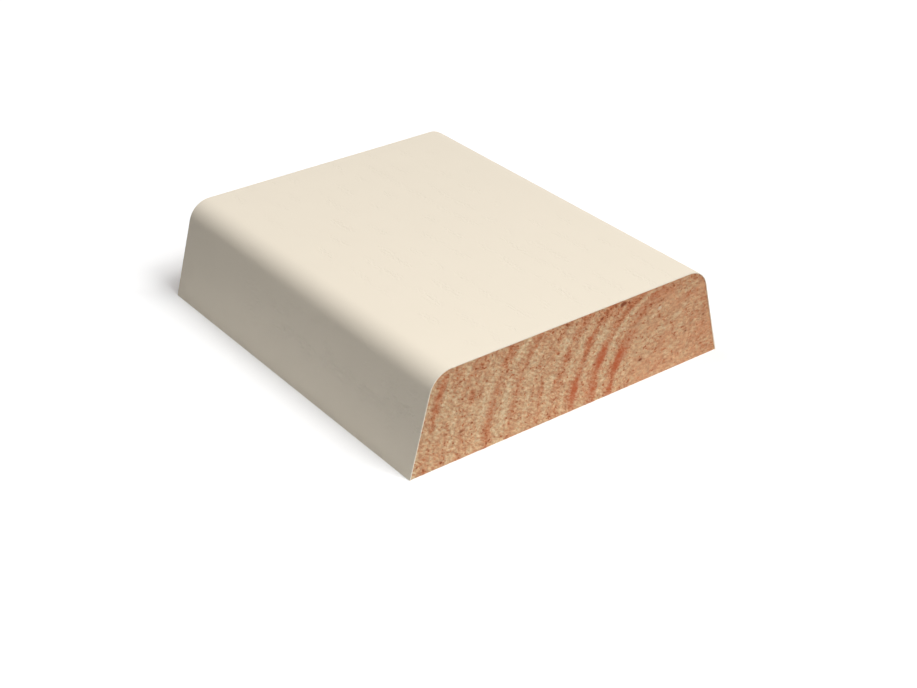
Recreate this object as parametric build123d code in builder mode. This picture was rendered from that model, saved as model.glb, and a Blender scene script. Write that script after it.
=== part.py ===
from build123d import *

import os

# A bevelled trim strip: flat timber moulding for framing a door or window opening.
#
# The section is a low trapezoid lying on its wide side. The wide side is the flat back that
# goes against the wall. Both long edges lean inwards as they rise from the back to the face,
# and each one meets the face in a round arris that is tangent to both. The back edges are
# left sharp, and both ends are cut square. The strip is one solid piece of planed pine.
#
# The origin is the centre of the back, +X runs across the strip, +Y along it and +Z from the
# back to the face.

# Driving dimensions, in millimetres and degrees
back_width = 45.0  # across the flat back, the widest part of the section
thickness = 12.0  # from the back to the face
bevel_angle = 15.0  # lean of each long edge, away from square to the back
arris_radius = 3.0  # rounding between each bevelled edge and the face
strip_length = 50.0  # between the two square-cut ends

# The trapezoid stands on the back, so its base angles are what the bevel leaves of a square corner.
base_angle = 90.0 - bevel_angle

with BuildPart() as trim_strip:
    with BuildSketch(Plane.XZ) as section:
        Trapezoid(back_width, thickness, base_angle, align=(Align.CENTER, Align.MIN))
        face_corners = section.vertices().group_by(Axis.Y)[-1]
        fillet(face_corners, arris_radius)
    extrude(amount=strip_length / 2, both=True)

trim_strip.part.label = "trim_strip"

os.makedirs("parts", exist_ok=True)
export_step(trim_strip.part, "parts/trim_strip.step")
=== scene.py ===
import math

import bmesh
import bpy
from mathutils import Matrix, Vector, noise

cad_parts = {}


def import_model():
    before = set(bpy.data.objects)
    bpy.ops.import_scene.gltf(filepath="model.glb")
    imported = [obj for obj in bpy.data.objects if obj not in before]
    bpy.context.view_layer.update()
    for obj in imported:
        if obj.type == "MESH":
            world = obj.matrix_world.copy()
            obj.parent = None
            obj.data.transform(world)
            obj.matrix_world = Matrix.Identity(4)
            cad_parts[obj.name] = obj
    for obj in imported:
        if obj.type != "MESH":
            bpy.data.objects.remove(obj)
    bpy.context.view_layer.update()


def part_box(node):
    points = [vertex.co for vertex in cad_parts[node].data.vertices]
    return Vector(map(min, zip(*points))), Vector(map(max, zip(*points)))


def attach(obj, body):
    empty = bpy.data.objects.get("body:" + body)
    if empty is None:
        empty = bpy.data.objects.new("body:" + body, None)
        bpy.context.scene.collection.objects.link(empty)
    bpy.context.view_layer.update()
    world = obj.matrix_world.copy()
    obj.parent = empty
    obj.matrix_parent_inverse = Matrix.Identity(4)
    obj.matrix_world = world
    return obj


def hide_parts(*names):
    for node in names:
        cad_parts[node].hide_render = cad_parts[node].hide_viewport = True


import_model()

# The strip is dressed with two pieces: the timber, and the paint film over its face and long edges.
# Lengths are in millimetres and angles in degrees, until a mesh, a lamp or the camera is made.
# A noise scale says how many patches of the noise lie on a millimetre, along each axis.
MM = 0.001
ORIGIN = (0.0, 0.0, 0.0)

# Section and length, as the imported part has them
LOW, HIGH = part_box("trim_strip")
BACK_WIDTH = (HIGH.x - LOW.x) / MM
THICKNESS = (HIGH.z - LOW.z) / MM
HALF_LENGTH = (HIGH.y - LOW.y) / MM / 2
BEVEL_ANGLE = 15.0
ARRIS_RADIUS = 3.0
FACE_HALF = BACK_WIDTH / 2 - THICKNESS * math.tan(math.radians(BEVEL_ANGLE))

# Paint film
FILM = 0.12
FILM_GAP = 0.004  # keeps the timber's hidden sides off the inside of the film
FILM_RELIEF = 0.014  # how far fibres and brushing shape the film's outer side
FIBRE_SCALE = (2.6, 0.9, 2.6)
BRUSH_SCALE = (0.3, 0.03, 0.3)
BRUSH_START = (9.0, 0.0, 0.0)
BRUSH_SHARE = 0.2
FIBRE_SHARE = 0.8
RIM_EASE = 0.02  # the film is this much lower along its cut rim
RIM_CHIP = 0.16  # every nick in that rim is shorter than this
NICK_SCALE = (1.9, 1.9, 5.0)
NICK_FROM = 0.25  # the rim is nicked where the noise is above this

# Rows of risen grain on the face: where each one lies across the strip at mid length
FACE_ROWS = (-13.4, -10.5, -7.7, -5.0, -1.6, 1.7, 4.8, 7.3, 11.0, 14.0)
FACE_ROW_WIDTH = 0.6
FACE_ROW_SLANT = 0.04  # how far the rows move across for each millimetre of length
BREAK_SCALE = (0.6, 0.3, 0.6)
BREAK_START = (0.0, 0.0, 3.0)
BREAKS = (-0.08, 0.22)  # the rows are flat where the noise is below the first and full above the second

# Belt of risen grain along each long edge, fuller than the rows of the face
EDGE_BELT = 2.3
EDGE_BLEND = 0.5  # the rows of the face give way to the belt over this distance
RIGHT_BELT = 0.3  # the belt of the right edge, as a share of the left one's
BELT_HEIGHT = 6.5
BELT_REACH = 2.5
BELT_FADE = (14.0, 4.0)  # the belt begins and is full at these places along the strip

# Sawn ends
SAWN_RELIEF = 0.06
EDGE_EASE = 0.03  # the timber's edge lies this much farther back
SOFT_SHARE = 0.45
SCRATCH_SCALE = (0.25, 3.1, 4.0)
SCRATCH_CURVE = 0.08  # how much the saw's scratches bend across the end
SCRATCH_SHARE = 0.2
TORN_SCALE = (2.3, 2.3, 11.0)
TORN_SHARE = 0.3

# Planed back
PLANED_RELIEF = 0.03
PLANED_FADE = 0.8  # the planed relief dies away over this distance from the back's edges
RIPPLE_LENGTH = 1.9  # from one mark of the planer's knives to the next
RIPPLE_SHARE = 0.25
GRAIN_SHARE = 0.45
PLANED_FIBRE_SCALE = (2.2, 0.05, 1.0)
PLANED_FIBRE_LAYER = 21.0
PLANED_FIBRE_SHARE = 0.3

# Mesh densities, as numbers of quads
BEVEL_STEPS = 62
ARRIS_STEPS = 24
FACE_STEPS = 300
COAT_STATIONS = 90
TIMBER_STATIONS = 32

WELD = 1e-7  # points nearer to each other than this, in metres, become one
SHARP_ANGLE = 40.0  # edges that turn by more than this stay sharp

# Rectangles of the UV maps, each as its corner and its size
FILM_OUTSIDE = ((0.002, 0.002), (0.996, 0.93))
FILM_INSIDE = ((0.002, 0.945), (0.996, 0.02))
FILM_NEAR_RIM = ((0.002, 0.970), (0.996, 0.008))
FILM_FAR_RIM = ((0.002, 0.982), (0.996, 0.008))
FILM_LEFT_FOOT = ((0.002, 0.993), (0.49, 0.005))
FILM_RIGHT_FOOT = ((0.502, 0.993), (0.49, 0.005))
TIMBER_SIDES = ((0.002, 0.96), (0.996, 0.038))
TIMBER_BACK = ((0.002, 0.002), (0.996, 0.38))
TIMBER_NEAR_END = ((0.002, 0.39), (0.996, 0.275))
TIMBER_FAR_END = ((0.002, 0.675), (0.996, 0.275))

# Growth rings: round the pith, and straight and slanted in the reaction wood beyond it
PITH_X = 16.5
PITH_Z = -0.8
PITH_DRIFT = 0.03  # how far the pith moves across for each millimetre of length
RING_LEAN = 0.17  # the far rings lean over the pith and the near ones away from it, by this share
LEAN_TURNS_AT = 17.0
LEAN_HEIGHT = 4.0
SLANT_ANGLE = 33.0
SLANT_OFFSET = 9.68
SLANT_FROM = 11.5  # the rings begin to straighten this near the pith
SLANT_TO = 8.0
WANDER = 0.35
WANDER_SCALE = (0.22, 0.03, 0.22)

# Latewood bands from the bark side to the pith side: distance from the pith, and how dark the band is
LATEWOOD = (
    (36.9, 0.60),
    (34.7, 0.20),
    (32.2, 0.55),
    (30.4, 0.15),
    (28.6, 0.75),
    (25.5, 0.65),
    (22.3, 0.45),
    (19.6, 0.55),
    (16.8, 0.90),
    (14.0, 1.00),
    (11.4, 1.00),
    (8.6, 0.20),
    (6.2, 0.30),
    (3.6, 0.30),
    (1.2, 0.30),
)
# Bands of the palest earlywood: distance from the pith, and how pale the band is
EARLYWOOD = (
    (29.9, 0.25),
    (27.0, 0.35),
    (20.7, 0.20),
    (18.2, 0.10),
    (15.5, 0.15),
    (12.9, 0.20),
    (10.0, 0.15),
)
BAND_WIDTH = 0.55
PATCH_LEVEL = 0.8  # the latewood's darkness swings about this level, from patch to patch
PATCH_SWING = 0.9
PATCH_SCALE = (0.5, 0.06, 0.5)
PATCH_START = (0.0, 0.0, 147.0)
CALM = 0.6  # how much weaker the bands are on the pith side
CALM_FROM_X = 8.5
CALM_TO_X = 13.0

# Resin-rich streaks of the near end, drawn out along the rings: across, up, reach and strength
RESIN = (
    (-18.8, 8.6, 2.2, 0.3),
    (-12.0, 4.6, 2.0, 0.35),
    (-8.0, 6.6, 2.0, 0.25),
    (-1.1, 7.7, 0.8, 0.5),
    (-0.2, 10.0, 0.7, 0.4),
    (0.1, 2.6, 1.8, 1.2),
    (2.2, 8.6, 0.5, 0.8),
    (2.8, 1.9, 1.2, 0.9),
    (4.0, 5.5, 1.6, 1.5),
    (5.6, 1.2, 1.0, 0.6),
    (6.7, 4.3, 1.3, 2.6),
    (7.5, 4.9, 0.9, 0.8),
    (8.3, 6.4, 1.4, 0.5),
    (9.9, 9.9, 0.8, 0.5),
    (11.8, 10.9, 1.4, 0.6),
    (17.2, 9.3, 0.8, 0.5),
    (12.4, 1.0, 0.9, 0.4),
)
RESIN_WIDTH = 0.65
RESIN_DEPTH = 20.0  # how far back from the near end the streaks fade

# Small marks of the near end: across, up, reach and strength, dark ones below zero and pale fibres above
FLECKS = (
    (-18.9, 1.0, 0.30, -0.6),
    (-17.8, 3.9, 0.30, -0.6),
    (-15.7, 3.5, 0.35, -0.8),
    (-14.7, 5.4, 0.35, -0.5),
    (-12.3, 8.4, 0.30, -0.6),
    (-11.2, 5.9, 0.35, -0.6),
    (-8.9, 10.6, 0.35, -0.5),
    (-7.2, 7.4, 0.30, -0.5),
    (3.4, 11.1, 0.30, -0.6),
    (6.9, 11.4, 0.40, -1.3),
    (7.6, 10.5, 0.25, -0.7),
    (9.9, 1.8, 0.30, -0.5),
    (10.1, 3.0, 0.28, -1.4),
    (11.3, 4.8, 0.25, -0.6),
    (11.9, 4.1, 0.25, -0.6),
    (12.4, 0.9, 0.40, -0.5),
    (16.0, 2.4, 0.25, -0.4),
    (17.1, 4.4, 0.30, -0.8),
    (18.3, 7.4, 0.30, -0.6),
    (19.7, 5.1, 0.30, -0.5),
    (19.8, 5.7, 0.30, -0.8),
    (-3.5, 3.8, 0.35, 0.5),
    (-1.8, 9.3, 0.35, 0.6),
    (7.3, 8.2, 0.50, 0.6),
    (12.6, 9.0, 0.35, 1.0),
    (13.7, 9.9, 0.40, 0.5),
    (14.7, 5.4, 0.35, 0.5),
)
FLECK_SHAPE = (0.75, 1.35)  # marks reach farther across than up
FLECK_DEPTH = 2.0


def clamp(value):
    return min(max(value, 0.0), 1.0)


def blend(a, b, share):
    return a + (b - a) * share


def smoothstep(low, high, value):
    """Eases from 0 at low to 1 at high."""
    t = clamp((value - low) / (high - low))
    return t * t * (3 - 2 * t)


def bell(distance, reach):
    """1 at no distance, dying away smoothly over the reach."""
    return math.exp(-((distance / reach) ** 2))


def patches(x, y, z, scale, start=ORIGIN):
    """Smooth noise about zero."""
    return noise.noise(Vector([s * value + shift for s, value, shift in zip(scale, (x, y, z), start)]))


def growth(x, y, z):
    """Distance through the growth rings, counted from the pith."""
    x -= PITH_DRIFT * (y + HALF_LENGTH)
    slant = math.radians(SLANT_ANGLE)
    rounded = math.hypot(x - PITH_X, z - PITH_Z)
    rounded += RING_LEAN * (1 - LEAN_TURNS_AT / max(rounded, SLANT_TO)) * (z - LEAN_HEIGHT)
    slanted = z * math.cos(slant) - x * math.sin(slant) + SLANT_OFFSET
    wander = WANDER * patches(x, y, z, WANDER_SCALE)
    return blend(rounded, slanted, smoothstep(SLANT_FROM, SLANT_TO, rounded)) + wander


def strongest_band(distance, bands):
    return max(strength * bell(distance - at, BAND_WIDTH) for at, strength in bands)


def latewood(x, y, z):
    """The growth rings at a place: up to 1 in the latewood, and below 0 in the palest earlywood."""
    distance = growth(x, y, z)
    patchy = PATCH_LEVEL + PATCH_SWING * patches(x, y, z, PATCH_SCALE, PATCH_START)
    calm = 1 - CALM * smoothstep(CALM_FROM_X, CALM_TO_X, x)
    dark = min(strongest_band(distance, LATEWOOD) * patchy * calm, 1.0)
    return dark - strongest_band(distance, EARLYWOOD)


RESIN_RINGS = [(*streak, growth(streak[0], -HALF_LENGTH, streak[1])) for streak in RESIN]


def resin(x, y, z):
    """How resin-rich a place is, from 0 to 1. The streaks run back from the near end and fade."""
    here = growth(x, -HALF_LENGTH, z)
    strongest = max(
        strength * bell(math.hypot(x - at_x, z - at_z), reach) * bell(here - ring, RESIN_WIDTH)
        for at_x, at_z, reach, strength, ring in RESIN_RINGS
    )
    return min(math.exp(-(y + HALF_LENGTH) / RESIN_DEPTH) * strongest, 1.0)


def fleck(x, y, z):
    """Small marks, below 0 where dark and above 0 where pale. They lie close under the near end."""
    across, up = FLECK_SHAPE
    total = sum(
        strength * bell(math.hypot(across * (x - at_x), up * (z - at_z)), reach)
        for at_x, at_z, reach, strength in FLECKS
    )
    return math.exp(-(y + HALF_LENGTH) / FLECK_DEPTH) * total


def side_profile(inset):
    """Half widths and heights of the section, from the foot up to where the arris meets the face."""
    lean = math.radians(BEVEL_ANGLE)
    upright = math.pi / 2
    centre_x = FACE_HALF - ARRIS_RADIUS * math.tan((upright - lean) / 2)
    centre = Vector((centre_x, THICKNESS - ARRIS_RADIUS))
    foot = Vector((BACK_WIDTH / 2 - inset / math.cos(lean), 0.0))
    arris = []
    for i in range(ARRIS_STEPS + 1):
        angle = blend(lean, upright, i / ARRIS_STEPS)
        arris.append(centre + (ARRIS_RADIUS - inset) * Vector((math.cos(angle), math.sin(angle))))
    bevel = [foot.lerp(arris[0], i / BEVEL_STEPS) for i in range(BEVEL_STEPS)]
    return bevel + arris


def painted_outline(inset):
    """The section's outline from the left foot over the face to the right foot."""
    right = side_profile(inset)
    left = [Vector((-p.x, p.y)) for p in right]
    half_face, top = right[-1]
    face = [Vector((half_face * (2 * i / FACE_STEPS - 1), top)) for i in range(1, FACE_STEPS)]
    return left + face + right[::-1]


def stations(count):
    """Places along the length, from the near end to the far end."""
    return [HALF_LENGTH * (2 * i / count - 1) for i in range(count + 1)]


def inward(y, depth):
    """The place as far along as y, moved towards mid length by the depth."""
    return y - math.copysign(depth, y)


class Skin:
    """Collects grids of points, each with its own rectangle of the UV map, and welds them into a mesh."""

    def __init__(self):
        self.points = []
        self.faces = []
        self.places = []
        self.materials = []

    def sheet(self, rows, rectangle, material=0):
        corner, size = rectangle
        first = len(self.points)
        columns = len(rows[0])
        self.points += [MM * Vector(point) for row in rows for point in row]
        for r in range(len(rows) - 1):
            for c in range(columns - 1):
                quad = ((r, c), (r, c + 1), (r + 1, c + 1), (r + 1, c))
                self.faces.append([first + i * columns + j for i, j in quad])
                self.materials.append(material)
                for i, j in quad:
                    u = corner[0] + size[0] * j / (columns - 1)
                    v = corner[1] + size[1] * i / (len(rows) - 1)
                    self.places.append((u, v))

    def build(self, name, fields, *materials):
        mesh = bpy.data.meshes.new(name)
        mesh.from_pydata(self.points, [], self.faces)
        mesh.polygons.foreach_set("material_index", self.materials)
        layer = mesh.uv_layers.new(name="OFBake")
        layer.uv.foreach_set("vector", [number for place in self.places for number in place])
        welded = bmesh.new()
        welded.from_mesh(mesh)
        bmesh.ops.remove_doubles(welded, verts=welded.verts, dist=WELD)
        bmesh.ops.recalc_face_normals(welded, faces=welded.faces)
        welded.to_mesh(mesh)
        welded.free()
        mesh.shade_smooth()
        mesh.set_sharp_from_angle(angle=math.radians(SHARP_ANGLE))
        for material in materials:
            mesh.materials.append(material)
        for field_name, field in fields.items():
            values = [field(*(vertex.co / MM)) for vertex in mesh.vertices]
            mesh.attributes.new(field_name, "FLOAT", "POINT").data.foreach_set("value", values)
        piece = bpy.data.objects.new(name, mesh)
        bpy.context.scene.collection.objects.link(piece)
        return piece


def raised_grain(x, y, z):
    """Where the grain has risen under the paint: broken rows along the face, and a belt along each edge."""
    across = x + FACE_ROW_SLANT * y
    row = max(bell(across - at, FACE_ROW_WIDTH) for at in FACE_ROWS)
    on_edge = smoothstep(FACE_HALF, FACE_HALF + EDGE_BLEND, abs(x))
    belt = EDGE_BELT * bell(z - BELT_HEIGHT, BELT_REACH) * smoothstep(*BELT_FADE, y)
    belt *= RIGHT_BELT if x > 0 else 1.0
    broken = smoothstep(*BREAKS, patches(x, y, z, BREAK_SCALE, BREAK_START))
    return blend(row, belt, on_edge) * broken


def film_relief(point, y):
    """How far the film's outer side lies inside the outline: risen grain and brushing."""
    x, z = point
    fibres = abs(patches(x, y, z, FIBRE_SCALE))
    brushed = 0.5 + patches(x, y, z, BRUSH_SCALE, BRUSH_START)
    share = BRUSH_SHARE * brushed + FIBRE_SHARE * fibres * raised_grain(x, y, z)
    return FILM_RELIEF * clamp(share)


def rim_nick(point, end):
    """How far the film's outer rim stops short of a sawn end."""
    chance = patches(point.x, point.y, end, NICK_SCALE)
    return RIM_CHIP * max(chance - NICK_FROM, 0.0)


def film_row(y, outer, inner):
    """The film's outer side at one station, eased and nicked where it is cut."""
    at_rim = abs(y) == HALF_LENGTH
    row = []
    for a, b in zip(outer, inner):
        depth = film_relief(a, y)
        end_y = y
        if at_rim:
            depth += RIM_EASE
            end_y = inward(y, rim_nick(a, math.copysign(1, y)))
        point = a.lerp(b, depth / FILM)
        row.append((point.x, end_y, point.y))
    return row


def paint_coat(material):
    """The paint film: a thin closed shell over the face, the arrises and the long edges."""
    outer = painted_outline(0.0)
    inner = painted_outline(FILM)
    rows = stations(COAT_STATIONS)
    outside = [film_row(y, outer, inner) for y in rows]
    inside = [[(p.x, y, p.y) for p in inner] for y in rows]
    skin = Skin()
    skin.sheet(outside, FILM_OUTSIDE)
    skin.sheet(inside, FILM_INSIDE)
    skin.sheet([outside[0], inside[0]], FILM_NEAR_RIM)
    skin.sheet([outside[-1], inside[-1]], FILM_FAR_RIM)
    for k, rectangle in ((0, FILM_LEFT_FOOT), (-1, FILM_RIGHT_FOOT)):
        foot = [[row[k] for row in outside], [row[k] for row in inside]]
        skin.sheet(foot, rectangle)
    return skin.build("paint_coat", {"raised": raised_grain}, material)


def sawn_recess(x, z, end):
    """How far a sawn end lies inside its plane: soft earlywood, saw scratches and torn fibres."""
    soft = 1 - latewood(x, end * HALF_LENGTH, z)
    scratches = 0.5 + patches(z + SCRATCH_CURVE * x * x, x, end, SCRATCH_SCALE)
    torn = 0.5 + patches(x, z, end, TORN_SCALE)
    share = SOFT_SHARE * soft + SCRATCH_SHARE * scratches + TORN_SHARE * torn
    return SAWN_RELIEF * clamp(share)


def planed_recess(x, y, half_width):
    """How far the back lies above the wall plane: planer ripples and raised latewood, none at its edges."""
    from_edge = min(half_width - abs(x), HALF_LENGTH - abs(y))
    ripples = 0.5 + 0.5 * math.sin(2 * math.pi * y / RIPPLE_LENGTH)
    grain = 1 - latewood(x, y, 0.0)
    fibres = 0.5 + patches(x, y, PLANED_FIBRE_LAYER, PLANED_FIBRE_SCALE)
    share = RIPPLE_SHARE * ripples + GRAIN_SHARE * grain + PLANED_FIBRE_SHARE * fibres
    return PLANED_RELIEF * clamp(share) * smoothstep(0.0, PLANED_FADE, from_edge)


def timber_point(x, z, y, at_edge):
    """A point of the timber. The ends follow the sawn relief, eased back at their edge."""
    if abs(y) < HALF_LENGTH:
        return (x, y, z)
    recess = sawn_recess(x, z, math.copysign(1, y))
    if at_edge:
        recess += EDGE_EASE
    return (x, inward(y, recess), z)


def timber(end_grain, long_grain):
    """The timber inside the film: sawn at both ends, planed on the back."""
    inset = FILM + FILM_GAP
    side = side_profile(inset)
    outline = painted_outline(inset)
    rows = stations(TIMBER_STATIONS)
    shares = [2 * i / FACE_STEPS - 1 for i in range(FACE_STEPS + 1)]
    foot = side[0].x
    back = []
    for y in rows:
        row = []
        for share in shares:
            x, end_y, _ = timber_point(foot * share, 0.0, y, True)
            row.append((x, end_y, planed_recess(x, y, foot)))
        back.append(row)
    skin = Skin()
    skin.sheet([[timber_point(p.x, p.y, y, True) for p in outline] for y in rows], TIMBER_SIDES, 1)
    skin.sheet(back, TIMBER_BACK, 1)
    for y, rectangle in ((-HALF_LENGTH, TIMBER_NEAR_END), (HALF_LENGTH, TIMBER_FAR_END)):
        cap = []
        for p in side:
            edge_row = p is side[0] or p is side[-1]
            row = [timber_point(p.x * share, p.y, y, edge_row or abs(share) == 1) for share in shares]
            cap.append(row)
        skin.sheet(cap, rectangle)
    fields = {"growth": growth, "latewood": latewood, "resin": resin, "fleck": fleck}
    return skin.build("timber", fields, end_grain, long_grain)


def display(red, green, blue):
    """A colour given as it shows on a screen, from 0 to 255, as a shader wants it."""
    linear = []
    for value in (red, green, blue):
        value /= 255
        linear.append(value / 12.92 if value <= 0.04045 else ((value + 0.055) / 1.055) ** 2.4)
    return (*linear, 1.0)


class Graph:
    """Adds nodes to a material. Inputs are numbers, colours or the outputs of other nodes."""

    def __init__(self, name):
        self.material = bpy.data.materials.new(name)
        self.material.use_nodes = True
        self.tree = self.material.node_tree
        self.tree.nodes.clear()

    def node(self, kind, inputs=None, **settings):
        made = self.tree.nodes.new("ShaderNode" + kind)
        for name, value in settings.items():
            setattr(made, name, value)
        for name, value in (inputs or {}).items():
            if isinstance(value, bpy.types.NodeSocket):
                self.tree.links.new(value, made.inputs[name])
            else:
                made.inputs[name].default_value = value
        return made

    def position(self):
        """The place on the piece, in millimetres."""
        place = self.node("TexCoord").outputs["Object"]
        return self.node("VectorMath", {0: place, "Scale": 1 / MM}, operation="SCALE").outputs[0]

    def axes(self, vector):
        outputs = self.node("SeparateXYZ", {0: vector}).outputs
        return outputs["X"], outputs["Y"], outputs["Z"]

    def attribute(self, name):
        return self.node("Attribute", attribute_name=name).outputs["Fac"]

    def noise(self, vector, scale=1.0, detail=2.0, roughness=0.5, turn=0.0):
        """Noise about a half, with one scale or one for each axis, after a turn about the length."""
        if turn:
            around = {"Vector": vector, "Angle": math.radians(turn), "Axis": (0.0, 1.0, 0.0)}
            vector = self.node("VectorRotate", around, rotation_type="AXIS_ANGLE").outputs[0]
        if isinstance(scale, tuple):
            vector = self.node("VectorMath", {0: vector, 1: scale}, operation="MULTIPLY").outputs[0]
            scale = 1.0
        inputs = {"Vector": vector, "Scale": scale, "Detail": detail, "Roughness": roughness}
        return self.node("TexNoise", inputs).outputs[0]

    def math(self, operation, a, b=0.0, c=0.0):
        return self.node("Math", {0: a, 1: b, 2: c}, operation=operation).outputs[0]

    def times(self, a, b):
        return self.math("MULTIPLY", a, b)

    def swing(self, value, amount):
        """value, which lies about a half, as a swing about zero."""
        return self.math("MULTIPLY_ADD", value, 2 * amount, -amount)

    def add(self, *values):
        total = values[0]
        for value in values[1:]:
            total = self.math("ADD", total, value)
        return total

    def ease(self, value, span, to=(0.0, 1.0)):
        """Eases from to's first number at the start of the span to its second one at the end."""
        low, high = span
        inputs = {"Value": value, "From Min": low, "From Max": high, "To Min": to[0], "To Max": to[1]}
        return self.node("MapRange", inputs, interpolation_type="SMOOTHSTEP").outputs[0]

    def ramp(self, value, stops):
        made = self.node("ValToRGB", {"Fac": value})
        elements = made.color_ramp.elements
        for place, colour in stops[2:]:
            elements.new(place)
        for element, (place, colour) in zip(elements, stops):
            element.position = place
        for element, (place, colour) in zip(elements, stops):
            element.color = colour
        return made.outputs["Color"]

    def mix(self, share, a, b, kind="MIX"):
        return self.node("MixRGB", {"Fac": share, "Color1": a, "Color2": b}, blend_type=kind).outputs[0]

    def surface(self, colour, roughness, height, depth, sheen=0.5):
        """A rough surface whose height, from 0 to 1, is as deep as depth in millimetres."""
        bump = self.node("Bump", {"Strength": 1.0, "Distance": depth * MM, "Height": height})
        inputs = {
            "Base Color": colour,
            "Roughness": roughness,
            "Specular IOR Level": sheen,
            "Normal": bump.outputs[0],
        }
        shader = self.node("BsdfPrincipled", inputs)
        self.node("OutputMaterial", {"Surface": shader.outputs[0]})
        return self.material


# Paint
PAINT_TONES = [(0.3, display(243, 232, 213)), (0.7, display(244, 233, 214))]
PAINT_MOTTLE_SCALE = 0.16
PAINT_SHEEN = 0.3
PAINT_ROUGHNESS = (0.56, 0.6)
PAINT_ROUGHNESS_SCALE = 1.4
PAINT_ROUGHNESS_SPAN = (0.3, 0.7)
PAINT_BEAD_SCALE = (3.0, 1.6, 3.0)
PAINT_BRUSH_SCALE = (0.5, 0.04, 0.5)
PAINT_DEPTH = 0.068
PAINT_GRAIN_SHARE = 0.93
PAINT_BRUSH_SHARE = 0.07


def paint():
    """Cream satin paint over raised grain."""
    g = Graph("cream_paint")
    place = g.position()
    beads = g.noise(place, PAINT_BEAD_SCALE, roughness=0.6)
    grain = g.math("MULTIPLY_ADD", g.swing(beads, 1.0), g.attribute("raised"), 0.5)
    brushed = g.noise(place, PAINT_BRUSH_SCALE)
    mottle = g.noise(place, PAINT_MOTTLE_SCALE, detail=3.0, roughness=0.6)
    dullness = g.noise(place, PAINT_ROUGHNESS_SCALE, detail=3.0)
    roughness = g.ease(dullness, PAINT_ROUGHNESS_SPAN, PAINT_ROUGHNESS)
    height = g.add(g.times(grain, PAINT_GRAIN_SHARE), g.times(brushed, PAINT_BRUSH_SHARE))
    return g.surface(g.ramp(mottle, PAINT_TONES), roughness, height, PAINT_DEPTH, PAINT_SHEEN)


# Colours of the sawn ends, from the darkest latewood to the palest earlywood, and of the marks on them
END_TONES = [
    (0.0, display(137, 71, 37)),
    (0.25, display(180, 105, 64)),
    (0.5, display(191, 136, 98)),
    (0.72, display(200, 161, 122)),
    (1.0, display(211, 187, 150)),
]
RESIN_TONE = display(178, 84, 42)
ROSY_TONE = display(205, 145, 105)
PALE_TONE = display(210, 186, 156)
DARK_TONE = display(128, 62, 26)

# Noise of the sawn ends. The scales of streaks and rays are through the rings, back and along them.
RING_CLIMB = 0.6  # how fast the way along a ring counts up across the strip, against its height
STREAK_SCALE = (1.4, 0.2, 0.16)
STREAK_SWING = 0.26
RAY_SCALE = (2.1, 0.5, 3.4)
RAY_SWING = 0.66
DASH_SCALE = (1.8, 0.5, 3.8)
DASH_TURN = -6.0
DASHES_X = (7.0, 12.0)  # the rays turn into level dashes between these places across
WOOL_SCALE = 3.3
WOOL_SPARKLE = 0.4
RAY_SPARKLE = 0.2
PIT_SCALE = (1.5, 0.6, 2.7)
PIT_TURN = -8.0
PIT_SPAN = (0.6, 0.8)
PIT_DARKNESS = -0.45
PEPPER_SCALE = 2.7
PEPPER_SPAN = (0.6, 0.78)
PEPPER_DARKNESS = -0.52
LIVELY_X = (2.0, 13.0)
LIVELY = (0.96, 0.85)  # how strong the texture is at those two places across

# Broad tone of the sawn ends, and how far the rings, the pith side and the top darken it
TONE_X = (-8.0, 0.0)
TONE = (0.73, 0.69)
PITH_SIDE_X = (15.5, 20.5)
TOP_Z = (8.5, 12.0)
SHADED = (0.0, -0.1)
LATEWOOD_DARKNESS = -0.36
ROSY_SCALE = 0.35
ROSY_SPAN = (0.4, 0.7)
ROSY_SHARE = (0.0, 0.5)
ROSY_X = (7.0, 11.0)
RESIN_BREAK_SPAN = (0.3, 0.6)
RESIN_BREAK = (1.0, 0.75)
MARK_RAGGED = 0.5
MARK_SPAN = (0.3, 0.9)
END_ROUGHNESS = 0.85
END_DEPTH = 0.05
WOOL_HEIGHT = 0.4
RAY_HEIGHT = 0.45
PIT_HEIGHT = -0.3


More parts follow.
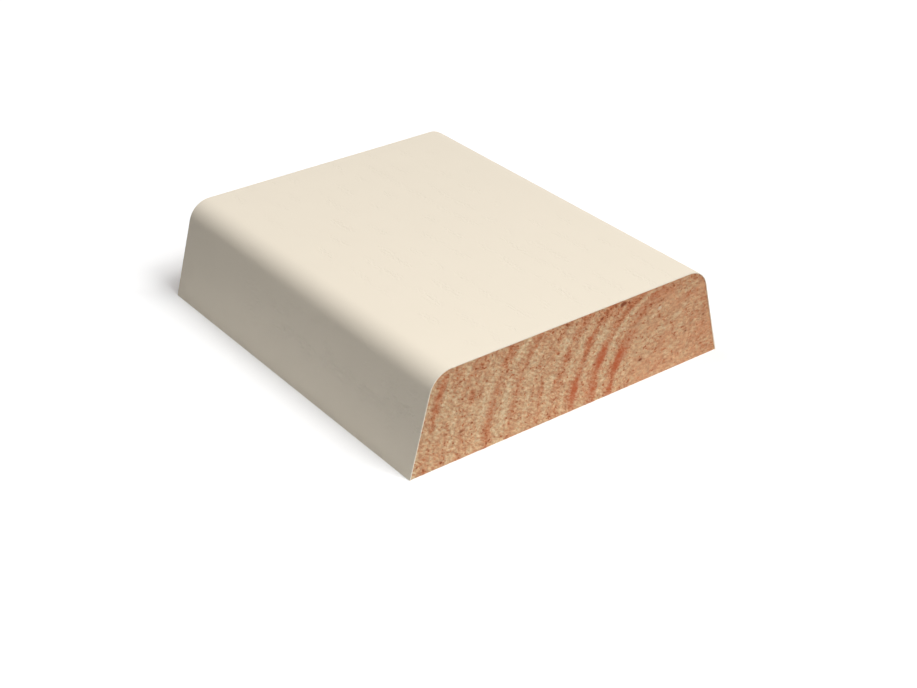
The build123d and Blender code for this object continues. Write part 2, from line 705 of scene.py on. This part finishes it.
def end_grain():
    """Sawn end of the timber: growth rings, streaks along them, rays across them, and woolly torn fibres."""
    g = Graph("sawn_end_grain")
    place = g.position()
    x, y, z = g.axes(place)
    along_ring = g.math("MULTIPLY_ADD", x, RING_CLIMB, z)
    ringwise = g.node("CombineXYZ", {"X": g.attribute("growth"), "Y": y, "Z": along_ring}).outputs[0]
    streaks = g.noise(ringwise, STREAK_SCALE, detail=1.0)
    rays = g.noise(ringwise, RAY_SCALE, roughness=0.6)
    dashes = g.noise(place, DASH_SCALE, roughness=0.6, turn=DASH_TURN)
    rays = g.math("MULTIPLY_ADD", g.ease(x, DASHES_X), g.math("SUBTRACT", dashes, rays), rays)
    wool = g.noise(place, WOOL_SCALE, roughness=0.6)
    pits = g.ease(g.noise(place, PIT_SCALE, detail=1.0, turn=PIT_TURN), PIT_SPAN)
    pepper = g.ease(g.noise(place, PEPPER_SCALE, detail=1.0), PEPPER_SPAN)
    liveliness = g.ease(x, LIVELY_X, LIVELY)
    texture = g.add(g.swing(streaks, STREAK_SWING), g.swing(rays, RAY_SWING))
    tone = g.add(
        g.ease(x, TONE_X, TONE),
        g.ease(x, PITH_SIDE_X, SHADED),
        g.ease(z, TOP_Z, SHADED),
        g.times(g.attribute("latewood"), LATEWOOD_DARKNESS),
        g.times(texture, liveliness),
        g.times(pits, PIT_DARKNESS),
        g.times(pepper, PEPPER_DARKNESS),
    )
    rosy = g.times(g.ease(g.noise(place, ROSY_SCALE), ROSY_SPAN, ROSY_SHARE), g.ease(x, ROSY_X))
    colour = g.mix(rosy, g.ramp(tone, END_TONES), ROSY_TONE)
    glints = g.add(g.swing(wool, WOOL_SPARKLE), g.swing(rays, RAY_SPARKLE))
    colour = g.mix(1.0, colour, g.math("MULTIPLY_ADD", glints, liveliness, 1.0), "MULTIPLY")
    resinous = g.times(g.attribute("resin"), g.ease(rays, RESIN_BREAK_SPAN, RESIN_BREAK))
    colour = g.mix(resinous, colour, RESIN_TONE)
    mark = g.attribute("fleck")
    ragged = g.swing(wool, MARK_RAGGED)
    colour = g.mix(g.ease(g.add(mark, ragged), MARK_SPAN), colour, PALE_TONE)
    colour = g.mix(g.ease(g.math("SUBTRACT", ragged, mark), MARK_SPAN), colour, DARK_TONE)
    height = g.add(g.times(wool, WOOL_HEIGHT), g.times(rays, RAY_HEIGHT), g.times(pits, PIT_HEIGHT))
    return g.surface(colour, END_ROUGHNESS, height, END_DEPTH)


# Planed back
LONG_TONES = [
    (0.0, display(178, 120, 76)),
    (0.45, display(208, 160, 112)),
    (1.0, display(232, 201, 160)),
]
STRAY_PAINT_TONE = display(242, 232, 214)
LONG_TONE = 0.78
LONG_DARKNESS = -0.5
LONG_FIBRE_SCALE = (4.0, 0.12, 4.0)
LONG_FIBRE_SWING = 0.5
STRAY_PAINT_SCALE = (1.2, 0.5, 1.0)
STRAY_PAINT_RAGGED = 2.4
STRAY_PAINT_SPAN = (22.6, 23.1)
LONG_ROUGHNESS = 0.7
LONG_DEPTH = 0.02
LONG_FIBRE_HEIGHT = 0.6
LONG_LATE_HEIGHT = 0.3


def long_grain():
    """Planed bare pine along the grain, with a little paint over its long edges."""
    g = Graph("planed_long_grain")
    place = g.position()
    late = g.attribute("latewood")
    fibres = g.noise(place, LONG_FIBRE_SCALE, detail=3.0, roughness=0.6)
    tone = g.add(LONG_TONE, g.times(late, LONG_DARKNESS), g.swing(fibres, LONG_FIBRE_SWING))
    across = g.math("ABSOLUTE", g.axes(place)[0])
    ragged = g.noise(place, STRAY_PAINT_SCALE, detail=3.0, roughness=0.6)
    painted = g.ease(g.math("MULTIPLY_ADD", ragged, STRAY_PAINT_RAGGED, across), STRAY_PAINT_SPAN)
    colour = g.mix(painted, g.ramp(tone, LONG_TONES), STRAY_PAINT_TONE)
    height = g.add(g.times(fibres, LONG_FIBRE_HEIGHT), g.times(late, LONG_LATE_HEIGHT))
    return g.surface(colour, LONG_ROUGHNESS, height, LONG_DEPTH)


def for_the_eye(tree):
    """1 for camera, glossy and transmission rays, and 0 for the light that falls on the strip."""
    path = tree.nodes.new("ShaderNodeLightPath")
    total = path.outputs["Is Camera Ray"]
    for name in ("Is Glossy Ray", "Is Transmission Ray"):
        either = tree.nodes.new("ShaderNodeMath")
        either.operation = "MAXIMUM"
        tree.links.new(total, either.inputs[0])
        tree.links.new(path.outputs[name], either.inputs[1])
        total = either.outputs[0]
    return total


FLOOR_HALF = 3000.0
FLOOR_GAP = 0.02
FLOOR_REACH = (25.0, 65.0)  # distances from the middle of the strip
FLOOR_PALE = (0.85, 0.3)  # how pale the floor is at those distances, as a source of reflected light
SEEN_EASE = (0.5, 7.0)  # outside the strip, between these distances from it
SEEN_LEVEL = (1.01, 1.16)  # the floor is seen this bright there, and it keeps the strip's shadow


def floor():
    """A white floor. What is seen of it is lifted to white, and its shadows stay."""
    g = Graph("white_floor")
    place = g.position()
    reach = g.node("VectorMath", {0: place}, operation="LENGTH").outputs["Value"]
    pale = g.ease(reach, FLOOR_REACH, FLOOR_PALE)
    x, y, _ = g.axes(place)
    beside = g.math("SUBTRACT", g.math("ABSOLUTE", x), BACK_WIDTH / 2)
    beyond = g.math("SUBTRACT", g.math("ABSOLUTE", y), HALF_LENGTH)
    seen = g.ease(g.math("MAXIMUM", beside, beyond), SEEN_EASE, SEEN_LEVEL)
    diffuse = g.node("BsdfDiffuse", {"Color": pale})
    lift = g.times(for_the_eye(g.tree), g.math("SUBTRACT", seen, pale))
    glow = g.node("Emission", {"Strength": lift})
    both = g.node("AddShader", {0: diffuse.outputs[0], 1: glow.outputs[0]})
    g.node("OutputMaterial", {"Surface": both.outputs[0]})
    mesh = bpy.data.meshes.new("floor")
    signs = ((-1, -1), (1, -1), (1, 1), (-1, 1))
    corners = [MM * Vector((a * FLOOR_HALF, b * FLOOR_HALF, -FLOOR_GAP)) for a, b in signs]
    mesh.from_pydata(corners, [], [(0, 1, 2, 3)])
    mesh.materials.append(g.material)
    piece = bpy.data.objects.new("floor", mesh)
    bpy.context.scene.collection.objects.link(piece)
    return piece


WORLD_LIGHT = 0.015  # the room as a light, where 1 is white


def world():
    """A plain white room, dimmer as a light than as it is seen."""
    made = bpy.data.worlds.new("room")
    made.use_nodes = True
    tree = made.node_tree
    background = tree.nodes["Background"]
    background.inputs["Color"].default_value = (1.0, 1.0, 1.0, 1.0)
    level = tree.nodes.new("ShaderNodeMapRange")
    level.inputs["To Min"].default_value = WORLD_LIGHT
    level.inputs["To Max"].default_value = 1.0
    tree.links.new(for_the_eye(tree), level.inputs["Value"])
    tree.links.new(level.outputs[0], background.inputs["Strength"])
    bpy.context.scene.world = made


def direction(azimuth, elevation):
    """Unit vector from the strip towards a place seen at this azimuth, from the near end, and elevation."""
    a = math.radians(azimuth)
    e = math.radians(elevation)
    return Vector((math.sin(a) * math.cos(e), -math.cos(a) * math.cos(e), math.sin(e)))


def aimed(position, target, roll=0.0):
    """A placing at position, in metres, that looks at target."""
    back = (position - target).normalized()
    right = Vector((0.0, 0.0, 1.0)).cross(back).normalized()
    up = back.cross(right)
    turn = Matrix((right, up, back)).transposed().to_4x4()
    return Matrix.Translation(position) @ turn @ Matrix.Rotation(roll, 4, "Z")


# Soft boxes: azimuth, elevation, distance and size in metres, and power in watts
LAMPS = {
    "high_soft_box": (25.0, 60.0, 0.9, 0.35, 4.58),
    "low_soft_box": (25.0, 45.0, 0.9, 0.35, 2.77),
    "near_soft_box": (-40.0, 50.0, 0.2, 0.08, 0.081),
    "rear_soft_box": (180.0, 12.0, 0.6, 0.24, 1.0),
}


def lamp(name, azimuth, elevation, distance, size, power):
    """A square soft box aimed at the middle of the strip."""
    light = bpy.data.lights.new(name, "AREA")
    light.size = size
    light.energy = power
    made = bpy.data.objects.new(name, light)
    target = Vector((0.0, 0.0, THICKNESS * MM / 2))
    made.matrix_world = aimed(target + distance * direction(azimuth, elevation), target)
    made.visible_camera = False
    bpy.context.scene.collection.objects.link(made)


CAMERA_AZIMUTH = -37.41
CAMERA_ELEVATION = 30.87
CAMERA_ROLL = 0.36
CAMERA_AIM = Vector((-1.41, -5.73, 0.0))
CAMERA_DISTANCE = 196.2
CAMERA_LENS = 64.29
SENSOR_WIDTH = 36.0
CLIP_START = 10.0
CLIP_END = 50000.0


def camera():
    data = bpy.data.cameras.new("camera")
    data.lens = CAMERA_LENS
    data.sensor_width = SENSOR_WIDTH
    data.clip_start = CLIP_START * MM
    data.clip_end = CLIP_END * MM
    made = bpy.data.objects.new("camera", data)
    target = CAMERA_AIM * MM
    position = target + CAMERA_DISTANCE * MM * direction(CAMERA_AZIMUTH, CAMERA_ELEVATION)
    made.matrix_world = aimed(position, target, math.radians(CAMERA_ROLL))
    bpy.context.scene.collection.objects.link(made)
    bpy.context.scene.camera = made


coat = paint_coat(paint())
wood = timber(end_grain(), long_grain())
for piece, slot in ((coat, "painted_pine"), (wood, "bare_pine")):
    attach(piece, "root")
    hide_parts("trim_strip")

floor()
world()
for lamp_name, placing in LAMPS.items():
    lamp(lamp_name, *placing)
camera()
bpy.context.scene.view_settings.view_transform = "Standard"
